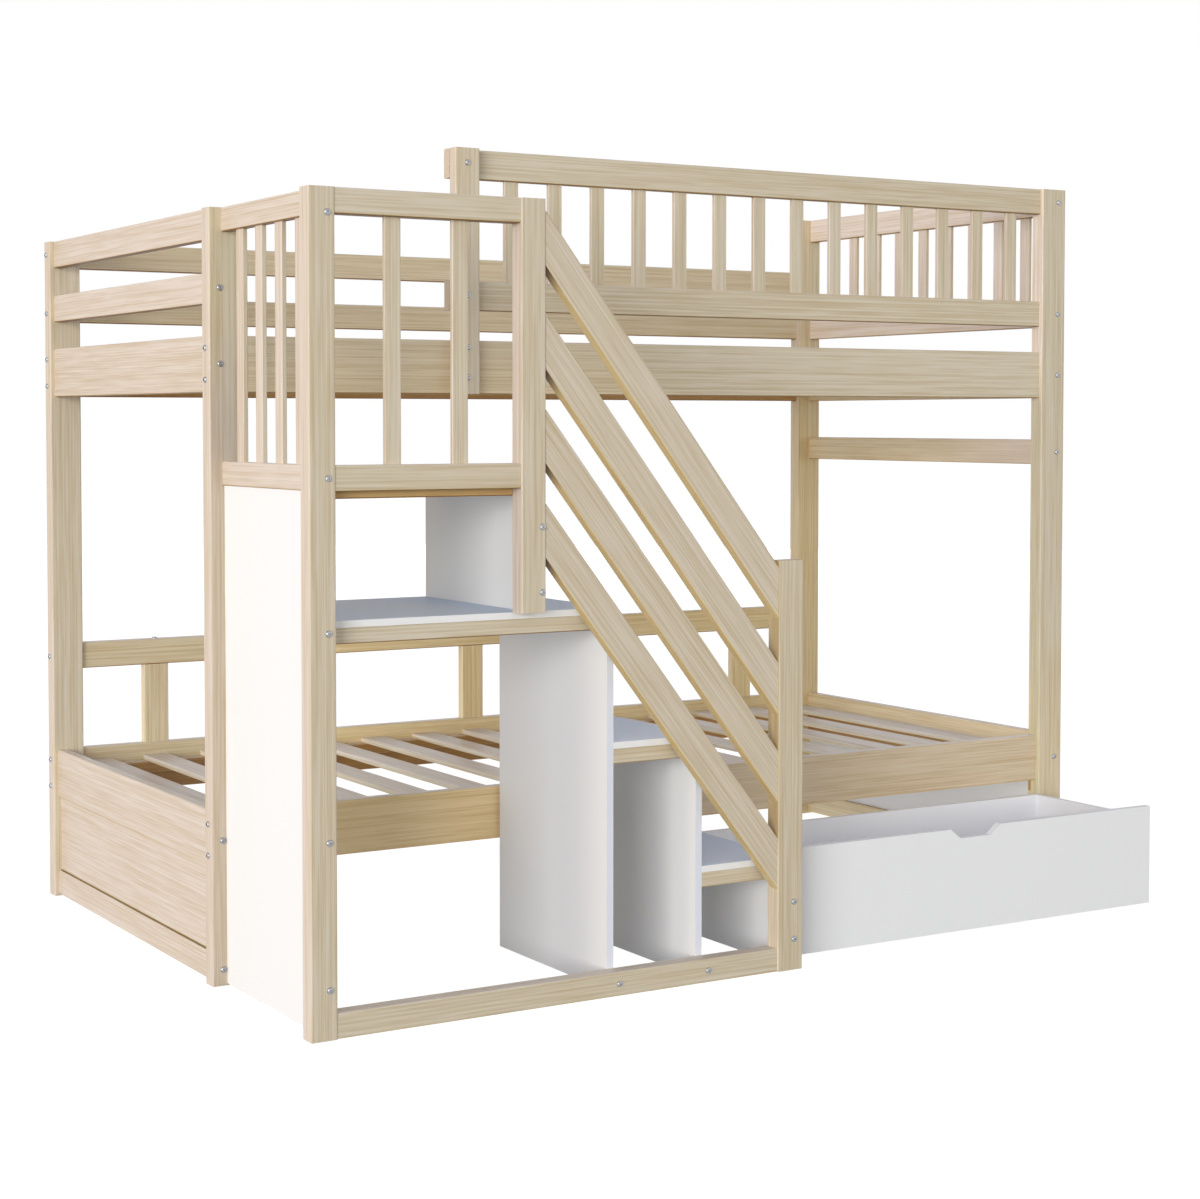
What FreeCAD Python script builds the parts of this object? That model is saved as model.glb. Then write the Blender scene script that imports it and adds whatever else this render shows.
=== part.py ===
"""Bunk bed with a storage staircase and a rolling drawer, as separate boards, panels and fittings.

Frame: +X along the bed to the right, +Y to the back, +Z up. The origin is on the floor, under the
middle of the whole bed with its stairs. Lengths are millimetres.
"""
import FreeCAD, Part
import os
import Sketcher

doc = FreeCAD.newDocument("bunk_bed")

# Driving sizes: one named cell each, kept as text in the sheet
SIZES = {
    # Outside of the bed and the stairs
    "bed_length": "2080",
    "bed_depth": "958",
    "stair_depth": "437",
    "left_height": "1428",
    "right_post_rise": "137",
    # Bed posts and the boards between them
    "post_wide": "68",
    "post_deep": "36",
    "rail_thick": "22",
    "front_rail_inset": "9.5",
    "back_rail_inset": "3",
    "end_rail_inset": "10",
    "bed_rail_tall": "104",
    "lower_rail_bottom": "217",
    "guard_tall": "57",
    "guard_gap": "60",
    "bed_guard_gap": "58",
    "cross_rail_gap": "95",
    "edge_round": "3",
    "edge_bevel": "2",
    # Lower end panels and the guard behind the lower bed
    "bottom_board_floor_gap": "4",
    "bottom_board_tall": "52",
    "end_panel_thick": "10",
    "end_panel_recess": "6",
    "support_tall": "175",
    "support_wide": "57",
    "support_end_gap": "144",
    "support_middle_shift": "5",
    # Slatted bases
    "slat_count": "15",
    "slat_wide": "57",
    "slat_thick": "12",
    "slat_drop": "27",
    "slat_left_gap": "43",
    "slat_right_gap": "37",
    "ledger_deep": "22",
    "ledger_tall": "26",
    # Front guard and the balusters
    "guard_post_offset": "498",
    "guard_post_wide": "53",
    "guard_post_thick": "26",
    "baluster_wide": "30.5",
    "baluster_thick": "9",
    "baluster_bevel": "1",
    "front_baluster_count": "14",
    "end_baluster_count": "9",
    "front_baluster_shift": "4",
    "end_baluster_lead": "4",
    # Stair posts and the rails round the landing
    "stair_post_wide": "49",
    "stair_post_deep": "36",
    "upper_newel_offset": "405",
    "lower_newel_lead": "30",
    "lower_newel_wide": "57",
    "newel_over_handrail": "9.6",
    "stair_rail_inset": "2.5",
    "stair_rail_tall": "44",
    "landing_guard_tall": "479.5",
    "landing_rail_drop": "26.5",
    "side_rail_offset": "24",
    "side_baluster_count": "4",
    "landing_baluster_count": "2",
    # Sloping boards of the stairs
    "slope_board_wide": "61",
    "slope_board_thick": "24",
    "handrail_drop": "18",
    "infill_first_drop": "181",
    "infill_pitch": "166",
    "infill_count": "3",
    "cut_overrun": "60",
    # Treads, battens and stair panels
    "tread_count": "3",
    "first_tread_top": "210.5",
    "tread_thick": "12",
    "panel_thick": "14",
    "panel_pitch": "194",
    "panel_offset": "602",
    "panel_floor_gap": "4",
    "batten_deep": "20",
    "batten_tall": "28",
    # Drawer
    "drawer_pull": "373.5",
    "drawer_left_gap": "5",
    "drawer_right_gap": "16",
    "drawer_top_gap": "3",
    "drawer_floor_gap": "5",
    "drawer_front_thick": "15",
    "drawer_box_depth": "332",
    "drawer_overhang": "4",
    "drawer_board_thick": "12",
    "drawer_side_bottom": "12",
    "drawer_side_drop": "23",
    "drawer_bottom_thick": "9",
    "handle_wide": "133",
    "handle_floor_wide": "80",
    "handle_deep": "20",
    "handle_round": "6",
    # Casters under the drawer
    "wheel_radius": "18",
    "wheel_wide": "16",
    "wheel_floor_gap": "0.4",
    "wheel_top_gap": "3.6",
    "axle_radius": "3",
    "axle_clearance": "0.1",
    "bracket_thick": "2",
    "bracket_long": "24",
    "bracket_side_play": "1.5",
    "caster_side_inset": "70",
    "caster_end_inset": "60",
    # Bolts
    "bolt_head_sides": "12",
    "bolt_shank_sides": "6",
    "bolt_head_radius": "6",
    "bolt_head_tall": "3",
    "bolt_shank_radius": "3",
    "bolt_bite": "40",
    "guard_bolt_bite": "15",
    "bolt_pair_spread": "29",
    "bolt_stagger": "14",
    "guard_bolt_raise": "9",
    "back_bolt_drop": "10",
    "corner_bolt_drop": "42.5",
    "panel_bolt_low_share": "0.092",
    "panel_bolt_middle_share": "0.362",
    "panel_bolt_high_share": "0.743",
    "riser_bolt_low_share": "0.154",
    "riser_bolt_high_share": "0.646",
    "newel_bolt_low": "59",
    "newel_bolt_spacing": "71",
}

# Edges this close to a direction count as running along it
PARALLEL_SHARE = 0.99
# A round edge takes at most this share of the thinnest side
ROUND_LIMIT_SHARE = 0.45

sheet = doc.addObject("Spreadsheet::Sheet", "sizes")
for row, (name, value) in enumerate(SIZES.items(), start=1):
    sheet.set(f"A{row}", name)
    sheet.set(f"B{row}", value)
    sheet.setAlias(f"B{row}", name)
doc.recompute()


class Measure:
    """A length written as a formula over the cells of the sheet."""

    def __init__(self, text):
        self.text = str(text)

    def _joined(self, sign, other, swapped=False):
        first, second = self.text, Measure(other).text
        if swapped:
            first, second = second, first
        return Measure(f"({first} {sign} {second})")

    def __str__(self):
        return self.text

    def __add__(self, other):
        return self._joined("+", other)

    def __radd__(self, other):
        return self._joined("+", other, swapped=True)

    def __sub__(self, other):
        return self._joined("-", other)

    def __rsub__(self, other):
        return self._joined("-", other, swapped=True)

    def __mul__(self, other):
        return self._joined("*", other)

    def __rmul__(self, other):
        return self._joined("*", other, swapped=True)

    def __truediv__(self, other):
        return self._joined("/", other)

    def __neg__(self):
        return Measure(f"(0 - {self.text})")

    @property
    def value(self):
        return float(sheet.evalExpression(self.text))


class Sizes:
    """Gives each cell of the sheet by its name."""

    def __getattr__(self, name):
        return Measure(f"sizes.{name}")

    def count(self, name):
        return int(float(sheet.get(name)))


size = Sizes()
FLOOR = Measure("0")
nodes = []


def keep(thing, name):
    """Names a finished piece and lists it for writing."""
    thing.Label = name
    nodes.append(thing)
    return thing


def span(start, length):
    """The two ends of a stretch that begins at start."""
    return start, start + length


def middle(ends):
    """The point halfway between two ends."""
    return (ends[0] + ends[1]) / 2


def moved(ends, shift):
    """The same stretch, further along."""
    return ends[0] + shift, ends[1] + shift


def block(name, x, y, z):
    """A square-edged board between three pairs of planes."""
    box = doc.addObject("Part::Box", name)
    for side, axis, (low, high) in zip(("Length", "Width", "Height"), "xyz", (x, y, z)):
        box.setExpression(side, str(high - low))
        box.setExpression(f"Placement.Base.{axis}", str(low))
    doc.recompute([box])
    return box


def eased(blank, along, cut, kind="Part::Fillet"):
    """Rounds or bevels the edges of a board that run along one axis."""
    axis = "xyz".index(along)
    box = blank.Shape.BoundBox
    sides = [box.XLength, box.YLength, box.ZLength]
    sides.pop(axis)
    radius = min(cut.value, ROUND_LIMIT_SHARE * min(sides))
    finished = doc.addObject(kind, blank.Name + "_eased")
    finished.Base = blank
    finished.Edges = [
        (number, radius, radius)
        for number, edge in enumerate(blank.Shape.Edges, start=1)
        if abs(edge.tangentAt(edge.FirstParameter)[axis]) > PARALLEL_SHARE
    ]
    return finished


def board(name, x, y, z, along):
    """A wooden board with its long edges rounded over."""
    return eased(block(name + "_blank", x, y, z), along, size.edge_round)


def bevelled(name, x, y, z, along, cut=size.edge_bevel):
    """Smaller or hidden wood, with its long edges only bevelled."""
    return eased(block(name + "_blank", x, y, z), along, cut, kind="Part::Chamfer")


def group(name, pieces):
    """Several separate pieces kept together under one name."""
    bundle = doc.addObject("Part::Compound", name + "_group")
    bundle.Links = pieces
    return keep(bundle, name)


# Planes that the pieces share
left = -size.bed_length / 2
right = size.bed_length / 2
front = -(size.bed_depth + size.stair_depth) / 2
bed_front = front + size.stair_depth
back = bed_front + size.bed_depth
inner_x = (left + size.post_wide, right - size.post_wide)
inner_y = (bed_front + size.post_deep, back - size.post_deep)
front_rail_y = span(bed_front + size.front_rail_inset, size.rail_thick)
back_rail_y = span(back - size.back_rail_inset - size.rail_thick, size.rail_thick)
left_end_x = span(left + size.end_rail_inset, size.rail_thick)
right_end_x = span(right - size.end_rail_inset - size.rail_thick, size.rail_thick)
right_height = size.left_height + size.right_post_rise
left_top_z = (size.left_height - size.guard_tall, size.left_height)
right_top_z = (right_height - size.guard_tall, right_height)
guard_lower_z = span(left_top_z[0] - size.guard_gap - size.guard_tall, size.guard_tall)
upper_rail_z = span(guard_lower_z[0] - size.bed_guard_gap - size.bed_rail_tall, size.bed_rail_tall)
cross_rail_z = span(upper_rail_z[0] - size.cross_rail_gap - size.guard_tall, size.guard_tall)
lower_rail_z = span(size.lower_rail_bottom, size.bed_rail_tall)
lower_guard_z = span(lower_rail_z[1] + size.support_tall, size.guard_tall)
bottom_board_z = span(size.bottom_board_floor_gap, size.bottom_board_tall)


def bed_posts():
    left_x = span(left, size.post_wide)
    right_x = (inner_x[1], right)
    front_y = span(bed_front, size.post_deep)
    back_y = (inner_y[1], back)
    places = {
        "front_left_post": (left_x, front_y, size.left_height),
        "back_left_post": (left_x, back_y, size.left_height),
        "front_right_post": (right_x, front_y, right_height),
        "back_right_post": (right_x, back_y, right_height),
    }
    for name, (x, y, top) in places.items():
        keep(board(name, x, y, (FLOOR, top), "z"), name)


def long_rails():
    """Rails that run the length of the bed, between the posts."""
    front_places = {"upper_front_rail": upper_rail_z, "lower_front_rail": lower_rail_z}
    back_places = {
        "upper_back_rail": upper_rail_z,
        "lower_back_rail": lower_rail_z,
        "back_guard_top_rail": left_top_z,
        "back_guard_lower_rail": guard_lower_z,
        "lower_back_guard_rail": lower_guard_z,
    }
    for name, z in front_places.items():
        keep(board(name, inner_x, front_rail_y, z, "x"), name)
    for name, z in back_places.items():
        keep(bevelled(name, inner_x, back_rail_y, z, "x"), name)


def end_rails():
    """Boards across the two ends of the bed, between the posts."""
    places = {
        "upper_left_end_rail": (left_end_x, upper_rail_z),
        "upper_right_end_rail": (right_end_x, upper_rail_z),
        "lower_left_end_rail": (left_end_x, lower_rail_z),
        "lower_right_end_rail": (right_end_x, lower_rail_z),
        "left_guard_top_board": (left_end_x, left_top_z),
        "left_guard_lower_board": (left_end_x, guard_lower_z),
        "right_guard_top_rail": (right_end_x, right_top_z),
        "right_guard_lower_rail": (right_end_x, guard_lower_z),
        "right_cross_rail": (right_end_x, cross_rail_z),
    }
    for name, (x, z) in places.items():
        keep(board(name, x, inner_y, z, "y"), name)


def end_panels():
    """The closed lower ends: a recessed panel above a bottom board, at the head and at the foot."""
    panel_z = (bottom_board_z[1], lower_rail_z[0])
    left_panel_x = span(left_end_x[0] + size.end_panel_recess, size.end_panel_thick)
    right_panel_start = right_end_x[1] - size.end_panel_recess - size.end_panel_thick
    right_panel_x = span(right_panel_start, size.end_panel_thick)
    group("end_panels", [
        block("left_end_panel", left_panel_x, inner_y, panel_z),
        block("right_end_panel", right_panel_x, inner_y, panel_z),
    ])
    group("end_bottom_boards", [
        bevelled("left_bottom_board", left_end_x, inner_y, bottom_board_z, "y"),
        bevelled("right_bottom_board", right_end_x, inner_y, bottom_board_z, "y"),
    ])


def support_spans():
    """Where the uprights behind the lower bed stand along its length."""
    first = inner_x[0] + size.support_end_gap
    last = inner_x[1] - size.support_end_gap - size.support_wide
    starts = {"left": first, "middle": (first + last) / 2 + size.support_middle_shift, "right": last}
    return {place: span(start, size.support_wide) for place, start in starts.items()}


def lower_guard_supports():
    """Short uprights that carry the guard behind the lower bed."""
    z = (lower_rail_z[1], lower_guard_z[0])
    group("lower_back_guard_supports", [
        bevelled(f"{place}_support", x, back_rail_y, z, "z") for place, x in support_spans().items()
    ])


def slatted_base(level, rail_z):
    """Ledgers on the long rails and the slats that lie across them."""
    slat_top = rail_z[1] - size.slat_drop
    slat_z = (slat_top - size.slat_thick, slat_top)
    ledger_z = (slat_z[0] - size.ledger_tall, slat_z[0])
    inside_y = (front_rail_y[1], back_rail_y[0])
    front_ledger_y = span(inside_y[0], size.ledger_deep)
    back_ledger_y = (inside_y[1] - size.ledger_deep, inside_y[1])
    group(f"{level}_slat_ledgers", [
        bevelled(f"{level}_front_ledger", inner_x, front_ledger_y, ledger_z, "x"),
        bevelled(f"{level}_back_ledger", inner_x, back_ledger_y, ledger_z, "x"),
    ])
    count = size.count("slat_count")
    first = left_end_x[1] + size.slat_left_gap
    last = right_end_x[0] - size.slat_right_gap - size.slat_wide
    slats = []
    for number in range(count):
        start = first + (last - first) * number / (count - 1)
        slat_x = span(start, size.slat_wide)
        slats.append(bevelled(f"{level}_slat_{number + 1}", slat_x, inside_y, slat_z, "y"))
    group(f"{level}_slats", slats)


def balusters(name, count_name, along, ends, across, z):
    """Evenly spaced uprights between two ends, centred in the rails that hold them."""
    count = size.count(count_name)
    gap = (ends[1] - ends[0] - size.baluster_wide * count) / (count + 1)
    depth = span(across - size.baluster_thick / 2, size.baluster_thick)
    uprights = []
    for number in range(count):
        stretch = span(ends[0] + gap + (gap + size.baluster_wide) * number, size.baluster_wide)
        x, y = (stretch, depth) if along == "x" else (depth, stretch)
        uprights.append(bevelled(f"{name}_{number + 1}", x, y, z, "z", cut=size.baluster_bevel))
    group(name, uprights)


guard_post_x = span(left + size.guard_post_offset, size.guard_post_wide)
guard_post_y = (front_rail_y[0] - size.guard_post_thick, front_rail_y[0])


def guards_of_upper_bed():
    """Front guard on its own short post, and the balusters of the front and the right end."""
    guard_z = (upper_rail_z[0], right_height)
    keep(board("guard_post", guard_post_x, guard_post_y, guard_z, "z"), "guard_post")
    rail_x = (guard_post_x[0], inner_x[1])
    for name, z in {"front_guard_top_rail": right_top_z, "front_guard_lower_rail": guard_lower_z}.items():
        keep(board(name, rail_x, front_rail_y, z, "x"), name)
    between_z = (guard_lower_z[1], right_top_z[0])
    front_ends = moved((guard_post_x[1], inner_x[1]), size.front_baluster_shift)
    balusters("front_guard_balusters", "front_baluster_count", "x",
              front_ends, middle(front_rail_y), between_z)
    balusters("right_guard_balusters", "end_baluster_count", "y",
              moved(inner_y, -size.end_baluster_lead), middle(right_end_x), between_z)


# Planes of the stairs
stair_back = front + size.stair_post_deep
stair_y = (stair_back, bed_front)
stair_rail_y = (front + size.stair_rail_inset, stair_back)
landing_height = size.left_height - size.landing_guard_tall
tread_rise = (landing_height - size.first_tread_top) / size.tread_count


def tread_top(step):
    """Height of a tread's upper face, counted from the floor: 1, 2, 3, and 4 for the landing."""
    return size.first_tread_top + tread_rise * (step - 1)


def panel_x(step):
    """Stair panels stand one under the end of each tread: step 3 is the tallest."""
    return span(left + size.panel_offset + size.panel_pitch * (3 - step), size.panel_thick)


corner_post_x = span(left, size.stair_post_wide)
upper_newel_x = span(left + size.upper_newel_offset, size.stair_post_wide)
lower_newel_x = span(panel_x(1)[0] - size.lower_newel_lead, size.lower_newel_wide)
riser_panel_x = (upper_newel_x[1] - size.panel_thick, upper_newel_x[1])
side_rail_x = span(left + size.side_rail_offset, size.rail_thick)
side_panel_x = span(middle(side_rail_x) - size.panel_thick / 2, size.panel_thick)
landing_rail_z = span(landing_height - size.landing_rail_drop, size.stair_rail_tall)
landing_top_z = (size.left_height - size.stair_rail_tall, size.left_height)
landing_gap_z = (landing_rail_z[1], landing_top_z[0])
handrail_edge = size.left_height - size.handrail_drop
slope_drop = (lower_newel_x[0] - upper_newel_x[1]) * tread_rise / size.panel_pitch
lower_newel_top = handrail_edge - slope_drop + size.newel_over_handrail


def stair_posts():
    post_y = (front, stair_back)
    places = {
        "stair_corner_post": (corner_post_x, FLOOR, size.left_height),
        "upper_newel": (upper_newel_x, tread_top(3), size.left_height),
        "lower_newel": (lower_newel_x, FLOOR, lower_newel_top),
    }
    for name, (x, low, top) in places.items():
        keep(board(name, x, post_y, (low, top), "z"), name)


def landing_rails():
    """Rails and balusters on the open front and on the left side of the landing."""
    front_x = (corner_post_x[1], upper_newel_x[0])
    group("landing_front_rails", [
        board("landing_front_top_rail", front_x, stair_rail_y, landing_top_z, "x"),
        board("landing_front_lower_rail", front_x, stair_rail_y, landing_rail_z, "x"),
    ])
    group("landing_side_rails", [
        board("landing_side_top_rail", side_rail_x, stair_y, landing_top_z, "y"),
        board("landing_side_lower_rail", side_rail_x, stair_y, landing_rail_z, "y"),
    ])
    balusters("landing_front_balusters", "landing_baluster_count", "x",
              front_x, middle(stair_rail_y), landing_gap_z)
    balusters("landing_side_balusters", "side_baluster_count", "y",
              stair_y, middle(side_rail_x), landing_gap_z)
    bottom_x = (corner_post_x[1], lower_newel_x[0])
    bottom = board("stair_bottom_rail", bottom_x, stair_rail_y, (FLOOR, size.stair_rail_tall), "x")
    keep(bottom, "stair_bottom_rail")


def slope_board(name, upper_edge):
    """A board that falls with the stairs, cut upright at the two newels and level at the bottom rail."""
    slope = Measure(f"atan({tread_rise} / {size.panel_pitch})")
    rise_part = Measure(f"sin({slope})")
    run_part = Measure(f"cos({slope})")
    start_x = upper_newel_x[1]
    run = lower_newel_x[0] - start_x
    slope_y = span(front + size.stair_rail_inset, size.slope_board_thick)
    blank = doc.addObject("Part::Box", name + "_blank")
    blank.setExpression("Length", str(run / run_part + size.cut_overrun * 2 + size.slope_board_wide * 2))
    blank.setExpression("Width", str(slope_y[1] - slope_y[0]))
    blank.setExpression("Height", str(size.slope_board_wide))
    reach = size.cut_overrun + size.slope_board_wide
    corner_x = start_x - size.slope_board_wide * rise_part - reach * run_part
    corner_z = upper_edge - size.slope_board_wide * run_part + reach * rise_part
    blank.setExpression("Placement.Base.x", str(corner_x))
    blank.setExpression("Placement.Base.y", str(slope_y[0]))
    blank.setExpression("Placement.Base.z", str(corner_z))
    blank.Placement.Rotation = FreeCAD.Rotation(FreeCAD.Vector(0, 1, 0), 1)
    blank.setExpression("Placement.Rotation.Angle", str(slope))
    doc.recompute([blank])
    rounded = doc.addObject("Part::Fillet", name + "_rounded")
    rounded.Base = blank
    radius = size.edge_round.value
    along = blank.Placement.Rotation.multVec(FreeCAD.Vector(1, 0, 0))
    rounded.Edges = [
        (number, radius, radius)
        for number, edge in enumerate(blank.Shape.Edges, start=1)
        if abs(edge.tangentAt(edge.FirstParameter).dot(along)) > PARALLEL_SHARE
    ]
    above_rail_z = (size.stair_rail_tall, size.left_height)
    between = block(name + "_between_newels", (start_x, lower_newel_x[0]), slope_y, above_rail_z)
    trimmed = doc.addObject("Part::Common", name)
    trimmed.Base = rounded
    trimmed.Tool = between
    return trimmed


def slope_boards():
    keep(slope_board("stair_handrail_board", handrail_edge), "stair_handrail")
    infill = []
    for number in range(size.count("infill_count")):
        edge = handrail_edge - size.infill_first_drop - size.infill_pitch * number
        infill.append(slope_board(f"infill_board_{number + 1}", edge))
    group("stair_infill_boards", infill)


def treads_and_panels():
    """White treads on their battens and panels, with the landing platform at the top."""
    side_face = side_panel_x[1]
    tread_x = {
        1: (panel_x(2)[1], panel_x(1)[1]),
        2: (panel_x(3)[1], panel_x(2)[1]),
        3: (side_face, panel_x(3)[1]),
    }
    batten_x = {step: (ends[0], panel_x(step)[0]) for step, ends in tread_x.items()}
    batten_x[4] = (side_rail_x[1], riser_panel_x[0])
    batten_y = span(stair_back, size.batten_deep)
    treads, battens, panels = [], [], []
    for step, x in tread_x.items():
        top = tread_top(step)
        treads.append(block(f"tread_{step}", x, stair_y, (top - size.tread_thick, top)))
        panel_z = (FLOOR + size.panel_floor_gap, top - size.tread_thick)
        panels.append(block(f"stair_panel_{step}", panel_x(step), stair_y, panel_z))
    for step, x in batten_x.items():
        under = tread_top(step) - size.tread_thick
        battens.append(bevelled(f"batten_{step}", x, batten_y, (under - size.batten_tall, under), "x"))
    group("stair_treads", treads)
    group("stair_panels", panels)
    group("tread_battens", battens)
    platform_z = (landing_height - size.tread_thick, landing_height)
    platform_x = (side_rail_x[1], upper_newel_x[1])
    keep(block("platform_board", platform_x, stair_y, platform_z), "landing_platform")
    riser_z = (tread_top(3), platform_z[0])
    keep(block("riser_board", riser_panel_x, stair_y, riser_z), "landing_riser_panel")
    side_z = (FLOOR + size.panel_floor_gap, landing_rail_z[0])
    keep(block("side_board", side_panel_x, stair_y, side_z), "landing_side_panel")


# Planes of the drawer, where it stands pulled out
drawer_x = (lower_newel_x[1] + size.drawer_left_gap, inner_x[1] - size.drawer_right_gap)
drawer_z = (FLOOR + size.drawer_floor_gap, lower_rail_z[0] - size.drawer_top_gap)
drawer_front_y = span(front_rail_y[0] - size.drawer_pull, size.drawer_front_thick)
drawer_box_x = (drawer_x[0] + size.drawer_overhang, drawer_x[1] - size.drawer_overhang)
drawer_box_y = span(drawer_front_y[1], size.drawer_box_depth)
drawer_side_z = (FLOOR + size.drawer_side_bottom, drawer_z[1] - size.drawer_side_drop)
drawer_inside_x = (drawer_box_x[0] + size.drawer_board_thick, drawer_box_x[1] - size.drawer_board_thick)
drawer_inside_y = (drawer_box_y[0], drawer_box_y[1] - size.drawer_board_thick)
axle_height = size.wheel_floor_gap + size.wheel_radius
wheel_top = axle_height + size.wheel_radius
drawer_bottom_z = span(wheel_top + size.wheel_top_gap + size.bracket_thick, size.drawer_bottom_thick)


def placed_body(name, x, y, z):
    """An empty body whose own origin lies at a point of the bed."""
    body = doc.addObject("PartDesign::Body", name + "_body")
    for axis, place in zip("xyz", (x, y, z)):
        body.setExpression(f"Placement.Base.{axis}", str(place))
    return body


def outline(body, plane_role, points):
    """A closed sketch of straight lines, each corner bound to the sheet by its two distances."""
    sketch = body.newObject("Sketcher::SketchObject", body.Name + "_outline")
    plane = next(item for item in body.Origin.OriginFeatures if item.Role == plane_role)
    sketch.AttachmentSupport = [(plane, "")]
    sketch.MapMode = "FlatFace"
    spots = [FreeCAD.Vector(u.value, v.value, 0) for u, v in points]
    for number, spot in enumerate(spots):
        sketch.addGeometry(Part.LineSegment(spot, spots[(number + 1) % len(spots)]))
    for number in range(len(spots)):
        following = (number + 1) % len(spots)
        sketch.addConstraint(Sketcher.Constraint("Coincident", number, 2, following, 1))
    for number, corner in enumerate(points):
        for kind, axis_line, distance in zip(("DistanceX", "DistanceY"), (-2, -1), corner):
            if distance is FLOOR:
                sketch.addConstraint(Sketcher.Constraint("PointOnObject", number, 1, axis_line))
                continue
            rule = Sketcher.Constraint(kind, -1, 1, number, 1, distance.value)
            index = sketch.addConstraint(rule)
            sketch.setExpression(f"Constraints[{index}]", str(distance))
    return sketch


def padded(body, sketch, length):
    """Thickens a sketch towards the back of the bed."""
    pad = body.newObject("PartDesign::Pad", body.Name + "_pad")
    pad.Profile = sketch
    pad.setExpression("Length", str(length))
    pad.Reversed = True
    doc.recompute()
    return pad


def drawer_front():
    """Front board with a sloped finger notch in the middle of its top edge."""
    body = placed_body("drawer_front", drawer_x[0], drawer_front_y[0], drawer_z[0])
    wide = drawer_x[1] - drawer_x[0]
    tall = drawer_z[1] - drawer_z[0]
    notch_floor = tall - size.handle_deep
    points = [
        (FLOOR, FLOOR), (wide, FLOOR), (wide, tall),
        ((wide + size.handle_wide) / 2, tall), ((wide + size.handle_floor_wide) / 2, notch_floor),
        ((wide - size.handle_floor_wide) / 2, notch_floor), ((wide - size.handle_wide) / 2, tall),
        (FLOOR, tall),
    ]
    pad = padded(body, outline(body, "XZ_Plane", points), size.drawer_front_thick)
    edges = []
    for number, edge in enumerate(pad.Shape.Edges, start=1):
        spot = edge.CenterOfMass
        in_notch = abs(spot.x - wide.value / 2) <= size.handle_wide.value
        if in_notch and abs(edge.tangentAt(edge.FirstParameter).y) > PARALLEL_SHARE:
            edges.append(f"Edge{number}")
    fillet = body.newObject("PartDesign::Fillet", "handle_corners")
    fillet.Base = (pad, edges)
    fillet.setExpression("Radius", str(size.handle_round))
    keep(body, "drawer_front")


def drawer_box():
    """Sides, back and bottom behind the drawer's front."""
    group("drawer_sides", [
        block("drawer_left_side", (drawer_box_x[0], drawer_inside_x[0]), drawer_box_y, drawer_side_z),
        block("drawer_right_side", (drawer_inside_x[1], drawer_box_x[1]), drawer_box_y, drawer_side_z),
    ])
    back_y = (drawer_inside_y[1], drawer_box_y[1])
    keep(block("drawer_back_board", drawer_inside_x, back_y, drawer_side_z), "drawer_back")
    bottom = block("drawer_bottom_board", drawer_inside_x, drawer_inside_y, drawer_bottom_z)
    keep(bottom, "drawer_bottom")


def caster_bracket(name, middle_x, middle_y):
    """A folded bracket screwed under the drawer, with its riveted axle."""
    inside = size.wheel_wide + size.bracket_side_play * 2
    wide = inside + size.bracket_thick * 2
    lower_edge = axle_height - size.axle_radius * 2
    drop = drawer_bottom_z[0] - lower_edge
    body = placed_body(name, middle_x - wide / 2, middle_y - size.bracket_long / 2, lower_edge)
    plate = drop - size.bracket_thick
    points = [
        (FLOOR, FLOOR), (size.bracket_thick, FLOOR), (size.bracket_thick, plate),
        (wide - size.bracket_thick, plate), (wide - size.bracket_thick, FLOOR), (wide, FLOOR),
        (wide, drop), (FLOOR, drop),
    ]
    padded(body, outline(body, "XZ_Plane", points), size.bracket_long)
    axle = doc.addObject("Part::Cylinder", name + "_axle")
    axle.setExpression("Radius", str(size.axle_radius))
    axle.setExpression("Height", str(wide))
    axle.Placement.Rotation = FreeCAD.Rotation(FreeCAD.Vector(0, 1, 0), 90)
    for axis, place in zip("xyz", (middle_x - wide / 2, middle_y, axle_height)):
        axle.setExpression(f"Placement.Base.{axis}", str(place))
    whole = doc.addObject("Part::Fuse", name + "_with_axle")
    whole.Base = body
    whole.Tool = axle
    return whole


def caster_wheel(name, middle_x, middle_y):
    """A small wheel that turns on the bracket's axle."""
    body = placed_body(name, middle_x - size.wheel_wide / 2, middle_y, axle_height)
    bore = size.axle_radius + size.axle_clearance
    points = [
        (FLOOR, bore), (size.wheel_wide, bore),
        (size.wheel_wide, size.wheel_radius), (FLOOR, size.wheel_radius),
    ]
    sketch = outline(body, "XZ_Plane", points)
    turned = body.newObject("PartDesign::Revolution", name + "_turned")
    turned.Profile = sketch
    turned.ReferenceAxis = (sketch, ["H_Axis"])
    return body


def casters():
    """Four casters; the two wheels of a row turn on one line."""
    inset_x, inset_y = size.caster_side_inset, size.caster_end_inset
    columns = {"left": drawer_inside_x[0] + inset_x, "right": drawer_inside_x[1] - inset_x}
    rows = {"front": drawer_inside_y[0] + inset_y, "back": drawer_inside_y[1] - inset_y}
    brackets = []
    for row, middle_y in rows.items():
        wheels = []
        for column, middle_x in columns.items():
            brackets.append(caster_bracket(f"{row}_{column}_bracket", middle_x, middle_y))
            wheels.append(caster_wheel(f"{row}_{column}_wheel", middle_x, middle_y))
        group(f"{row}_wheels", wheels)
    group("drawer_caster_brackets", brackets)


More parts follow.
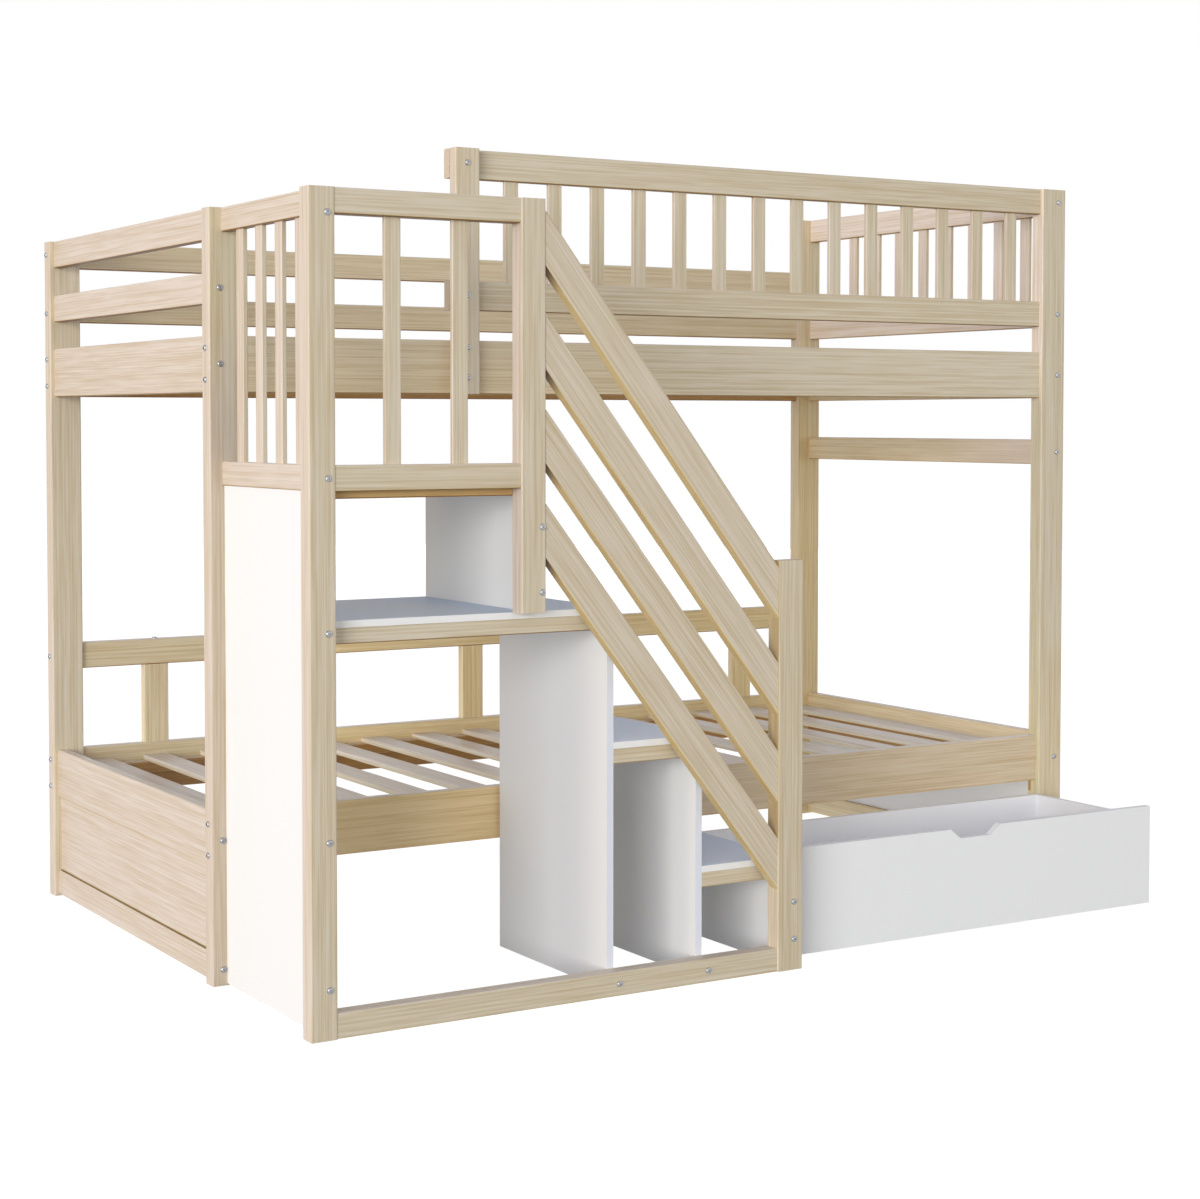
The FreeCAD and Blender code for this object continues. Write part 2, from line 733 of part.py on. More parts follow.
# Turns that point a piece made along +Z in each direction a bolt can face
FACING = {
    "-x": FreeCAD.Rotation(FreeCAD.Vector(0, 1, 0), -90),
    "+x": FreeCAD.Rotation(FreeCAD.Vector(0, 1, 0), 90),
    "-y": FreeCAD.Rotation(FreeCAD.Vector(1, 0, 0), 90),
    "+y": FreeCAD.Rotation(FreeCAD.Vector(1, 0, 0), -90),
    "+z": FreeCAD.Rotation(),
    "-z": FreeCAD.Rotation(FreeCAD.Vector(1, 0, 0), 180),
}
OPPOSITE = {"-x": "+x", "+x": "-x", "-y": "+y", "+y": "-y", "+z": "-z"}


def bolt(name, facing, place, shank_length):
    """A bolt with a low head on a face, and its shank in the wood behind."""
    head = prism(name + "_head", size.bolt_head_sides, size.bolt_head_radius, size.bolt_head_tall)
    head.Placement.Rotation = FACING[facing]
    shank = prism(name + "_shank", size.bolt_shank_sides, size.bolt_shank_radius, shank_length)
    shank.Placement.Rotation = FACING[OPPOSITE[facing]]
    for part in (head, shank):
        for axis, distance in zip("xyz", place):
            part.setExpression(f"Placement.Base.{axis}", str(distance))
    whole = doc.addObject("Part::Fuse", name)
    whole.Base = head
    whole.Tool = shank
    return whole


def prism(name, sides, radius, length):
    """A bar with many flat sides, which keeps the small bolts light."""
    bar = doc.addObject("Part::Prism", name)
    bar.setExpression("Polygon", str(sides))
    bar.setExpression("Circumradius", str(radius))
    bar.setExpression("Height", str(length))
    return bar


def pair(ends):
    """Heights of the two bolts in the end of a wide bed rail."""
    centre = middle(ends)
    return [centre - size.bolt_pair_spread, centre + size.bolt_pair_spread]


def frame_bolts():
    """Bolts through the bed posts into the rails, through the guard post and down into the supports."""
    long_bolt = size.post_wide + size.bolt_bite
    cross_bolt = size.post_deep + size.bolt_bite
    bed_pairs = pair(upper_rail_z) + pair(lower_rail_z)
    back_guard_height = middle(guard_lower_z) - size.back_bolt_drop
    back_heights = bed_pairs + [middle(left_top_z), back_guard_height, middle(lower_guard_z)]
    front_guard_heights = [middle(right_top_z), middle(guard_lower_z)]
    plain_heights = [middle(z) for z in (upper_rail_z, lower_rail_z, bottom_board_z)]
    guard_height = middle(guard_lower_z)
    left_heights = plain_heights + [guard_height]
    right_heights = left_heights + [middle(right_top_z), middle(cross_rail_z)]
    # Where two bolts meet in one post, the one on its hidden face sits higher
    raised_guards = [height + size.bolt_stagger for height in front_guard_heights]
    left_back_heights = plain_heights + [z + size.bolt_stagger for z in (guard_height, middle(left_top_z))]
    right_back_heights = plain_heights + raised_guards + [middle(cross_rail_z)]
    raised_pair = [height + size.guard_bolt_raise for height in pair(upper_rail_z)]
    left_middle, right_middle = middle(left_end_x), middle(right_end_x)
    front_middle, back_middle = middle(front_rail_y), middle(back_rail_y)
    rows = [
        ("-x", (left, front_middle), bed_pairs, long_bolt),
        ("-x", (left, back_middle), back_heights, long_bolt),
        ("+x", (right, front_middle), bed_pairs + raised_guards, long_bolt),
        ("+x", (right, back_middle), back_heights, long_bolt),
        ("-y", (left_middle, bed_front), left_heights, cross_bolt),
        ("+y", (left_middle, back), left_back_heights, cross_bolt),
        ("-y", (right_middle, bed_front), right_heights, cross_bolt),
        ("+y", (right_middle, back), right_back_heights, cross_bolt),
        ("-y", (middle(guard_post_x), guard_post_y[0]), front_guard_heights + raised_pair,
         size.guard_post_thick + size.guard_bolt_bite),
    ]
    for x in support_spans().values():
        rows.append(("+z", (middle(x), back_middle), [lower_guard_z[1]], size.guard_tall + size.bolt_bite))
    group("frame_bolts", bolts_in_rows("frame_bolt", rows))


def stair_bolts():
    """Bolts through the stair posts and the bottom rail into the panels and rails behind them."""
    post_bolt = size.stair_post_deep + size.bolt_bite
    rail_bolt = stair_rail_y[1] - stair_rail_y[0] + size.bolt_bite
    panel_shares = [size.panel_bolt_low_share, size.panel_bolt_middle_share, size.panel_bolt_high_share]
    side_heights = [landing_rail_z[0] * share for share in panel_shares]
    side_heights += [middle(landing_rail_z), size.left_height - size.corner_bolt_drop]
    riser_tall = landing_height - size.tread_thick - tread_top(3)
    riser_shares = [size.riser_bolt_low_share, size.riser_bolt_high_share]
    riser_heights = [tread_top(3) + riser_tall * share for share in riser_shares]
    newel_heights = [size.newel_bolt_low, size.newel_bolt_low + size.newel_bolt_spacing]
    rail_heights = [size.stair_rail_tall / 2]
    rows = [
        ("-y", (middle(side_rail_x), front), side_heights, post_bolt),
        ("-y", (middle(riser_panel_x), front), riser_heights, post_bolt),
        ("-y", (middle(panel_x(1)), front), newel_heights, post_bolt),
        ("-y", (middle(panel_x(3)), stair_rail_y[0]), rail_heights, rail_bolt),
        ("-y", (middle(panel_x(2)), stair_rail_y[0]), rail_heights, rail_bolt),
    ]
    group("stair_bolts", bolts_in_rows("stair_bolt", rows))


def bolts_in_rows(name, rows):
    """One bolt at each height of each row."""
    made = []
    for facing, (x, y), heights, length in rows:
        for height in heights:
            made.append(bolt(f"{name}_{len(made) + 1}", facing, (x, y, height), length))
    return made


def write_parts():
    """Checks every piece and writes it to its own file."""
    doc.recompute()
    for thing in doc.Objects:
        if "Invalid" in thing.State or "Error" in thing.State:
            raise RuntimeError(f"{thing.Label} did not build: {thing.State}")
    for node in nodes:
        if node.Shape.isNull() or not node.Shape.isValid() or not node.Shape.Solids:
            raise RuntimeError(f"{node.Label} has no valid shape")
    os.makedirs("parts", exist_ok=True)
    for node in nodes:
        node.Shape.exportStep(f"parts/{node.Label}.step")
        print(node.Label, len(node.Shape.Solids), "solids", round(node.Shape.Volume), "mm3")


bed_posts()
long_rails()
end_rails()
end_panels()
lower_guard_supports()
slatted_base("upper", upper_rail_z)
slatted_base("lower", lower_rail_z)
guards_of_upper_bed()
stair_posts()
landing_rails()
slope_boards()
treads_and_panels()
drawer_front()
drawer_box()
casters()
frame_bolts()
stair_bolts()
write_parts()
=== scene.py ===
"""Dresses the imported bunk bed: pale lacquered wood, white boards, steel bolts, light and camera."""

import math

import bpy
from mathutils import Matrix, Vector


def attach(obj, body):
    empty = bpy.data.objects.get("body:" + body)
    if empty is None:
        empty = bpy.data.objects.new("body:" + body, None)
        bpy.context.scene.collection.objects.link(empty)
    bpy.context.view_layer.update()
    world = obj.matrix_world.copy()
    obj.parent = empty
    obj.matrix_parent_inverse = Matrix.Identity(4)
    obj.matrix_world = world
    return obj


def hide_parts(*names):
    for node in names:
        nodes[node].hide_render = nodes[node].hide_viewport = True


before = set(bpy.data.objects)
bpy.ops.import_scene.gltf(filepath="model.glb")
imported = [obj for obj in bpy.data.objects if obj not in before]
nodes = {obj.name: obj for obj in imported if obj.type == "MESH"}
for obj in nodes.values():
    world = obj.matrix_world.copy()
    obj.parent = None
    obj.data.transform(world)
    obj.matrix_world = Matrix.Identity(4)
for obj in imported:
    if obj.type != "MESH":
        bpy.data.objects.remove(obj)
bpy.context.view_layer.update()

# Boards by the way their grain runs
GRAIN = {
    "along_bed": [
        "upper_front_rail", "upper_back_rail", "lower_front_rail", "lower_back_rail",
        "back_guard_top_rail", "back_guard_lower_rail", "lower_back_guard_rail",
        "front_guard_top_rail", "front_guard_lower_rail", "upper_slat_ledgers",
        "lower_slat_ledgers", "landing_front_rails", "stair_bottom_rail", "tread_battens",
    ],
    "across_bed": [
        "upper_left_end_rail", "upper_right_end_rail", "lower_left_end_rail",
        "lower_right_end_rail", "left_guard_top_board", "left_guard_lower_board",
        "right_guard_top_rail", "right_guard_lower_rail", "right_cross_rail",
        "end_bottom_boards", "landing_side_rails",
    ],
    "upright": [
        "front_left_post", "back_left_post", "front_right_post", "back_right_post", "guard_post",
        "front_guard_balusters", "right_guard_balusters", "landing_front_balusters",
        "landing_side_balusters", "stair_corner_post", "upper_newel", "lower_newel",
        "lower_back_guard_supports",
    ],
    "down_the_stairs": ["stair_handrail", "stair_infill_boards"],
}
SLATS = ["upper_slats", "lower_slats"]
WHITE_BOARDS = [
    "landing_side_panel", "drawer_front", "drawer_back", "drawer_sides", "drawer_bottom",
]
TREADS = ["stair_treads", "landing_platform"]
BOLTS = ["frame_bolts", "stair_bolts"]

# Slope of the stairs, metres per step
STAIR_RISE = 0.246
STAIR_GOING = 0.194
STAIR_SLOPE = math.atan2(STAIR_RISE, STAIR_GOING)

# Turns that lay the first axis along the grain
GRAIN_TURN = {
    "along_bed": (0, 0, 0),
    "across_bed": (0, 0, -math.pi / 2),
    "upright": (0, math.pi / 2, 0),
    "down_the_stairs": (0, -STAIR_SLOPE, 0),
}

# Places on the bed, metres: single planes first, then pairs of ends
BED_FRONT = -0.275
BED_BACK = 0.7
BED_RIGHT = 1.03
POST_BACK = -0.235
POST_INNER = 0.965
RIGHT_END = 0.9
BACK_BOARDS = 0.6
LOWER_NEWEL_LEFT = -0.3
BACK_RAIL_LOWEST = 1.0
LOWER_BED_TOP = 0.75
LEFT_POST_DEPTH = (BED_FRONT, 0.0)
RIGHT_POST_DEPTH = (BED_FRONT, -0.2)
RIGHT_GUARD_DEPTH = (BED_FRONT, 0.66)
RIGHT_GUARD_HEIGHT = (1.0, 1.25)
RIGHT_POST_HEIGHT = (1.25, 1.0)
ABOVE_LANDING = (1.0, 1.3)
NEWEL_SHADE_HEIGHT = (0.2, 0.27)
NEWEL_CORNER = (-0.545, -0.585)
LEFT_BACK_SPAN = (-0.35, -0.6)
BACK_RAIL_FOOT = (1.16, 1.11)
UNDER_SLATS_HEIGHT = (0.19, 0.282)
LANDING_BATTEN_DEPTH = (-0.667, -0.6)
LANDING_BATTEN_HEIGHT = (0.85, 1.0)
LOWER_RAIL_DEPTH = (BED_FRONT, POST_BACK)
LOWER_RAIL_HEIGHT = (0.2, 0.34)
PANEL_JOINT_SHADE_HEIGHT = (0.0558, 0.0582)
ABOVE_LOWER_BED = (0.3, 0.5)
PANEL_SIDE_DEPTH = (-0.5, -0.7)
SHELF_HEIGHT = (0.6, 0.8)
SHELF_SPAN = (-0.75, -0.58)

# Where painted golden bounce light and shade go on the wood, and by how much
BACK_DEPTH = (-0.2, 0.35)
BACK_HEIGHT = (1.3, 1.15)
BACK_HIGH_SHARE = 0.35
BACK_LOW_SHARE = 0.65
STAIR_SHADE_SPAN = (0.15, -0.35)
STAIR_SHADE_HEIGHT = (1.3, 0.9)
LOWER_BED_HEIGHT = (0.7, 0.25)
LOWER_BED_SHARE = 0.35
LOW_SIDE_HEIGHT = (0.5, 0.4)
LOW_SIDE_SHARE = 0.85
UPPER_BED_HEIGHT = (1.3, 1.2)

# How far a surface turns toward a direction: from nothing to all of a tint
FACING = (0.4, 0.9)
FACING_AGAINST = (-0.4, -0.9)
SLOPING_UNDERSIDE = (-0.2, -0.5)
LEVEL_UNDERSIDE = (-0.45, -0.8)
LEFT_LIMIT = -0.5
SAWN_LIMIT = 0.8
INSIDE_LIMIT = -0.3

# Colours, linear
PURE_WHITE = (1, 1, 1, 1)
WOOD_LIGHT = (0.715, 0.62, 0.54, 1)
WOOD_LINE = (0.57, 0.445, 0.31, 1)
WOOD_END = (0.52, 0.39, 0.24, 1)
BOARD_WHITE = (0.9, 0.905, 0.913, 1)
BOARD_SHADE = (0.875, 0.88, 0.888, 1)
STEEL = (0.42, 0.43, 0.46, 1)
STEEL_DULL = (0.2, 0.21, 0.23, 1)
WHEEL_GREY = (0.05, 0.05, 0.055, 1)
WHEEL_WORN = (0.1, 0.1, 0.105, 1)

# Tints of the wood: painted bounced light, and painted light and shade on tops, sides, undersides and
# joints
# Painted shade on faces toward the front and the back
FRONT_SHADE_TINT = (0.94, 0.97, 0.885, 1)
SLOPING_FRONT_SHADE_TINT = (0.955, 0.98, 0.92, 1)
# Painted light on the tops, lighter and bluer
TOP_LIGHT_TINT = (1.06, 1.12, 1.17, 1)
# Painted golden bounce light and shade in the shaded inside of the bed, on faces and on sides
INNER_BOUNCE_TINT = (1.2, 1.09, 0.8, 1)
INNER_SIDE_BOUNCE_TINT = (1.25, 1.24, 0.98, 1)
# Painted light on the slats' left sides
SLAT_SIDE_LIGHT_TINT = (1.0, 1.1, 1.4, 1)
# Painted shade below the lower slats
UNDER_SLATS_SHADE_TINT = (0.64, 0.44, 0.26, 1)
# Painted shade on the right post's left side
RIGHT_POST_SHADE_TINT = (0.93, 0.98, 0.85, 1)
# Painted light on the inner faces of the right guard
RIGHT_GUARD_LIGHT_TINT = (1.27, 1.3, 1.35, 1)
# Painted shade of the stairs on the back boards and the left post, and painted light on the post
# above the landing
LEFT_BACK_TINT = (0.83, 0.88, 1.06, 1)
LEFT_POST_TINT = (0.86, 0.84, 0.88, 1)
LEFT_POST_TOP_LIGHT_TINT = (1.11, 1.14, 1.02, 1)
# Painted light on the lower newel's left side, and painted shade on it between the boards
NEWEL_LIGHT_TINT = (1.13, 1.14, 1.06, 1)
NEWEL_SHADE_TINT = (0.77, 0.7, 0.45, 1)
# Painted shade in the corners under the sloping boards
NEWEL_CORNER_SHADE_TINT = (0.2, 0.13, 0.07, 1)
# Painted shade at the foot of the back rail, on the lower front rail and on the landing batten
BACK_RAIL_SHADE_TINT = (0.72, 0.53, 0.34, 1)
LOWER_RAIL_SHADE_TINT = (0.97, 0.93, 0.94, 1)
LANDING_BATTEN_SHADE_TINT = (0.98, 0.75, 0.4, 1)
# Painted shade in the joint below the end panels
PANEL_JOINT_SHADE_TINT = (0.42, 0.34, 0.15, 1)
# Painted golden bounce light and shade on the undersides of the sloping boards
SLOPING_UNDERSIDE_BOUNCE_TINT = (1.0, 0.88, 0.48, 1)
# Painted shade on level undersides
LEVEL_UNDERSIDE_SHADE_TINT = (0.36, 0.2, 0.1, 1)

# Tints of the white boards: painted light and shade
# Painted shade on the tread tops
TREAD_TOP_SHADE_TINT = (0.73, 0.83, 1.0, 1)
# Painted light on the left of the shelf top and painted shade on its right
SHELF_LEFT_LIGHT_TINT = (1.09, 1.04, 0.96, 1)
SHELF_RIGHT_SHADE_TINT = (0.84, 0.88, 0.925, 1)
# Painted light on the front faces of the drawer boards
DRAWER_FRONT_LIGHT_TINT = (1.005, 1.015, 1.03, 1)
# Painted shade on the left side of the board under the landing
RISER_SHADE_TINT = (0.88, 0.87, 0.84, 1)
# Painted shade on the stair panels' left sides, painted light toward their front, painted shade on
# their front edges
PANEL_SIDE_SHADE_TINT = (0.86, 0.86, 0.865, 1)
PANEL_FRONT_LIGHT_TINT = (1.22, 1.2, 1.17, 1)
PANEL_EDGE_SHADE_TINT = (0.87, 0.9, 0.99, 1)

# Grain: waves in a metre along and across the fibres, and the weight of each pattern
NOISE_MIDDLE = 0.5
NOISE_DETAIL = 2.0
NOISE_ROUGHNESS = 0.5
DRIFT_RATES = (0.8, 5)
DRIFT_REACH = 4
GROWTH_RATES = (0.35, 400)
GROWTH_DETAIL = 3.0
GROWTH_ROUGHNESS = 0.6
FIBRE_RATES = (6, 700)
STREAK_RATES = (7, 190)
TONE_RATES = (0.4, 9)
TONE_SHIFT = 3.1
TONE_DETAIL = 1.0
LINE_SHARE = 0.37
GROWTH_WEIGHT = 2.6
STREAK_WEIGHT = 1.7
FIBRE_WEIGHT = 0.6
TONE_WEIGHT = 0.5
SAWN_LEAST = 0.15
SAWN_GROWTH = 0.5

# Surfaces
WOOD_ROUGHNESS = 0.33
WOOD_ROUGHNESS_SPREAD = 0.14
WOOD_IOR = 1.45
WOOD_BUMP = {"Strength": 0.06, "Distance": 0.0006}
WOOD_BUMP_FIBRES = 0.6
WOOD_BUMP_GROWTH = 0.4
RIPPLE_SCALE = 260.0
CLOUD_SCALE = 3.0
CLOUD_SHARE = 0.7
RIPPLE_SHARE = 0.2
BOARD_ROUGHNESS = 0.46
BOARD_ROUGHNESS_SPREAD = 0.1
BOARD_SHINE = 0.3
BOARD_BUMP = {"Strength": 0.03, "Distance": 0.0004}
MARK_SCALE = 900.0
MARK_SHARE = 0.6
STEEL_ROUGHNESS = 0.2
STEEL_ROUGHNESS_SPREAD = 0.18
SCUFF_SCALE = 380.0
SCUFF_DETAIL = 4.0
WHEEL_ROUGHNESS = 0.45
WHEEL_ROUGHNESS_SPREAD = 0.2

# Colour sockets of a mix node, which shares their names with its other sockets
MIX_FIRST = 6
MIX_SECOND = 7
MIX_RESULT = 2


class Shade:
    """A number, colour or direction inside a finish, so that its maths reads as Python."""

    def __init__(self, finish, socket):
        self.finish = finish
        self.socket = socket

    def _math(self, operation, first, second):
        return self.finish.node("ShaderNodeMath", {"operation": operation}, {0: first, 1: second})

    def __add__(self, other):
        return self._math("ADD", self, other)

    def __radd__(self, other):
        return self._math("ADD", other, self)

    def __sub__(self, other):
        return self._math("SUBTRACT", self, other)

    def __rsub__(self, other):
        return self._math("SUBTRACT", other, self)

    def __mul__(self, other):
        return self._math("MULTIPLY", self, other)

    def __gt__(self, other):
        return self._math("GREATER_THAN", self, other)

    def __lt__(self, other):
        return self._math("LESS_THAN", self, other)

    def __abs__(self):
        return self._math("ABSOLUTE", self, 0)

    def highest(self, other):
        return self._math("MAXIMUM", self, other)

    def ramp(self, ends):
        """Zero at the first end and one at the second, eased between them."""
        start, stop = ends
        kind = {"interpolation_type": "SMOOTHSTEP"}
        inputs = {"Value": self, "From Min": start, "From Max": stop, "To Min": 0.0, "To Max": 1.0}
        return self.finish.node("ShaderNodeMapRange", kind, inputs)

    def within(self, ends):
        """One between two ends, and zero beyond them."""
        low, high = ends
        return (self > low) * (self < high)


class Finish:
    """A node tree for a material or the world, built one node at a time."""

    def __init__(self, owner):
        owner.use_nodes = True
        self.owner = owner
        self.tree = owner.node_tree
        self.tree.nodes.clear()

    def node(self, kind, settings=None, inputs=None, output=0):
        """Adds a node: its settings first, then the values or links of its sockets."""
        made = self.tree.nodes.new(kind)
        for name, value in (settings or {}).items():
            setattr(made, name, value)
        for key, value in (inputs or {}).items():
            if isinstance(value, Shade):
                self.tree.links.new(value.socket, made.inputs[key])
            else:
                made.inputs[key].default_value = value
        return Shade(self, made.outputs[output]) if made.outputs else made

    def mixed(self, factor, first, second, blend="MIX"):
        """Blends two colours."""
        kind = {"data_type": "RGBA", "blend_type": blend}
        inputs = {"Factor": factor, MIX_FIRST: first, MIX_SECOND: second}
        return self.node("ShaderNodeMix", kind, inputs, output=MIX_RESULT)

    def tinted(self, colour, amount, tint):
        """Multiplies a colour by a tint, in part."""
        return self.mixed(amount, colour, tint, "MULTIPLY")

    def place(self):
        """Where a point lies on the bed."""
        return self.node("ShaderNodeTexCoord", output="Object")

    def facing(self):
        """Which way a surface faces."""
        return self.node("ShaderNodeTexCoord", output="Normal")

    def noise(self, place, scale, detail=NOISE_DETAIL, roughness=NOISE_ROUGHNESS):
        inputs = {"Vector": place, "Scale": scale, "Detail": detail, "Roughness": roughness}
        return self.node("ShaderNodeTexNoise", None, inputs)

    def joined(self, along, wide, deep):
        return self.node("ShaderNodeCombineXYZ", None, {"X": along, "Y": wide, "Z": deep})

    def parts(self, vector):
        made = self.tree.nodes.new("ShaderNodeSeparateXYZ")
        self.tree.links.new(vector.socket, made.inputs[0])
        return [Shade(self, socket) for socket in made.outputs]

    def bump(self, height, size):
        return self.node("ShaderNodeBump", None, {"Height": height, **size})

    def ends(self, surface):
        on_piece = isinstance(self.owner, bpy.types.Material)
        kind = "ShaderNodeOutputMaterial" if on_piece else "ShaderNodeOutputWorld"
        self.node(kind, None, {"Surface": surface})

    def shines(self, inputs):
        """Ends the finish with one shader and hands over its material."""
        self.ends(self.node("ShaderNodeBsdfPrincipled", None, inputs))
        return self.owner


class Spot:
    """A point's place and facing in parts, and how far it faces left, front and up."""

    def __init__(self, finish):
        self.place = finish.place()
        self.facing = finish.facing()
        self.x, self.y, self.z = finish.parts(self.place)
        self.endways, self.sideways, self.upward = finish.parts(self.facing)
        self.left = self.endways.ramp(FACING_AGAINST)
        self.front = self.sideways.ramp(FACING_AGAINST)
        self.top = self.upward.ramp(FACING)


def new_finish(name):
    return Finish(bpy.data.materials.new(name))


def painted_inner_bounce(spot):
    """Share of painted golden bounce and shade: more at the back, behind the stairs and at the lower
    bed.
    """
    back_share = BACK_HIGH_SHARE + spot.z.ramp(BACK_HEIGHT) * BACK_LOW_SHARE
    toward_back = spot.y.ramp(BACK_DEPTH) * back_share
    behind_stairs = spot.x.ramp(STAIR_SHADE_SPAN) * spot.z.ramp(STAIR_SHADE_HEIGHT)
    low_down = spot.z.ramp(LOWER_BED_HEIGHT) * LOWER_BED_SHARE
    low_side = spot.z.ramp(LOW_SIDE_HEIGHT) * (spot.y > POST_BACK)
    low_side = low_side * (spot.endways < LEFT_LIMIT) * LOW_SIDE_SHARE
    in_shade = behind_stairs.highest(low_down) * (spot.y > BED_FRONT)
    golden = toward_back.highest(in_shade).highest(low_side)
    seen_inside = spot.z.ramp(UPPER_BED_HEIGHT).highest(spot.endways > LEFT_LIMIT)
    outward = spot.endways.highest(spot.sideways).highest(spot.upward)
    inward = 1 - outward.ramp(FACING)
    return golden * seen_inside * inward * (spot.x > -POST_INNER)


def under_slats(spot):
    """Painted shade: one on the inner faces just below the lower slats, at the back and at the right
    end.
    """
    at_back = spot.front * (spot.y > BACK_BOARDS) * (abs(spot.x) < POST_INNER)
    at_right = spot.left * (spot.x > RIGHT_END) * (spot.y > POST_BACK)
    return at_back.highest(at_right) * spot.z.within(UNDER_SLATS_HEIGHT)


def right_guard(spot):
    """Painted light: one on the inner faces of the upper bed's right guard, which the key light
    reaches.
    """
    inner = spot.left * (spot.x > RIGHT_END) * spot.y.within(RIGHT_GUARD_DEPTH)
    return inner * spot.z.ramp(RIGHT_GUARD_HEIGHT)


def left_back(spot):
    """One on the boards behind the lower bed near its left end, in the shade of the stairs."""
    near_left = spot.x.ramp(LEFT_BACK_SPAN) * (spot.x > -POST_INNER)
    return near_left * spot.front * (spot.y > BACK_BOARDS) * (spot.z < LOWER_BED_TOP)


def left_post_front(spot):
    """One on the front of the left post, which stands in the shade of the stairs."""
    return spot.front * (spot.x < -POST_INNER) * spot.y.within(LEFT_POST_DEPTH)


def shades_along_bed(spot):
    """Painted shade on the landing batten under its front rail, the lower front rail and the back
    rail's foot.
    """
    on_batten = spot.y.within(LANDING_BATTEN_DEPTH) * spot.z.within(LANDING_BATTEN_HEIGHT)
    on_lower_rail = spot.y.within(LOWER_RAIL_DEPTH) * spot.z.within(LOWER_RAIL_HEIGHT)
    on_back_rail = (spot.y > BACK_BOARDS) * (spot.z > BACK_RAIL_LOWEST)
    return [
        (on_batten, LANDING_BATTEN_SHADE_TINT),
        (on_lower_rail * spot.front, LOWER_RAIL_SHADE_TINT),
        (on_back_rail * spot.z.ramp(BACK_RAIL_FOOT) * spot.front, BACK_RAIL_SHADE_TINT),
    ]


def shades_across_bed(spot):
    """Painted shade in the narrow joint between an end panel and the board below it."""
    return [(spot.z.within(PANEL_JOINT_SHADE_HEIGHT), PANEL_JOINT_SHADE_TINT)]


def shades_upright(spot):
    """Left sides of the right post (painted shade) and the lower newel (painted light, and shade
    between the boards).
    """
    on_post = spot.left * (spot.x > RIGHT_END) * spot.y.within(RIGHT_POST_DEPTH)
    on_newel = spot.left * (spot.y < BED_FRONT) * (spot.x > LOWER_NEWEL_LEFT)
    between_boards = spot.z.ramp(NEWEL_SHADE_HEIGHT)
    return [
        (on_post * spot.z.ramp(RIGHT_POST_HEIGHT), RIGHT_POST_SHADE_TINT),
        (on_newel * (1 - between_boards), NEWEL_LIGHT_TINT),
        (on_newel * between_boards, NEWEL_SHADE_TINT),
    ]


def shades_down_the_stairs(spot):
    """Painted shade in the corners under the sloping boards at the upper newel."""
    underside = spot.upward.ramp(SLOPING_UNDERSIDE)
    return [(underside * spot.x.ramp(NEWEL_CORNER), NEWEL_CORNER_SHADE_TINT)]


SHADES = {
    "along_bed": shades_along_bed,
    "across_bed": shades_across_bed,
    "upright": shades_upright,
    "down_the_stairs": shades_down_the_stairs,
}


def wood_shades(finish, spot, run, side_light_tint):
    """The painted light and shade of a board in order, each tint with how much of it shows at a
    point.
    """
    sloping = run == "down_the_stairs"
    facing_end = abs(spot.endways).ramp(FACING)
    bounce_tint = finish.mixed(facing_end, INNER_BOUNCE_TINT, INNER_SIDE_BOUNCE_TINT)
    left_post = left_post_front(spot)
    shades = [
        (abs(spot.sideways).ramp(FACING), SLOPING_FRONT_SHADE_TINT if sloping else FRONT_SHADE_TINT),
        (spot.top, TOP_LIGHT_TINT),
        (painted_inner_bounce(spot), bounce_tint),
        (spot.left, side_light_tint),
        (under_slats(spot), UNDER_SLATS_SHADE_TINT),
        (right_guard(spot), RIGHT_GUARD_LIGHT_TINT),
        (left_back(spot), LEFT_BACK_TINT),
        (left_post, LEFT_POST_TINT),
        # Painted light on the left post above the landing
        (left_post * spot.z.ramp(ABOVE_LANDING), LEFT_POST_TOP_LIGHT_TINT),
        (spot.upward.ramp(SLOPING_UNDERSIDE), SLOPING_UNDERSIDE_BOUNCE_TINT),
    ]
    shades += SHADES[run](spot)
    if not sloping:
        # Painted shade on level undersides above the lower bed
        underside = spot.upward.ramp(LEVEL_UNDERSIDE)
        shades.append((underside * spot.z.ramp(ABOVE_LOWER_BED), LEVEL_UNDERSIDE_SHADE_TINT))
    return shades


def grain_axes(finish, vector, run):
    """The parts of a place or a direction, turned so that the first runs along the grain."""
    inputs = {"Vector": vector, "Rotation": GRAIN_TURN[run]}
    return finish.parts(finish.node("ShaderNodeMapping", None, inputs))


def stretched(axes, rates):
    """Places along and across the grain, each counted at a rate of its own."""
    along, wide, deep = axes
    along_rate, cross_rate = rates
    return along * along_rate, wide * cross_rate, deep * cross_rate


def grain_noise(finish, counts, detail=NOISE_DETAIL, roughness=NOISE_ROUGHNESS):
    return finish.noise(finish.joined(*counts), 1.0, detail, roughness)


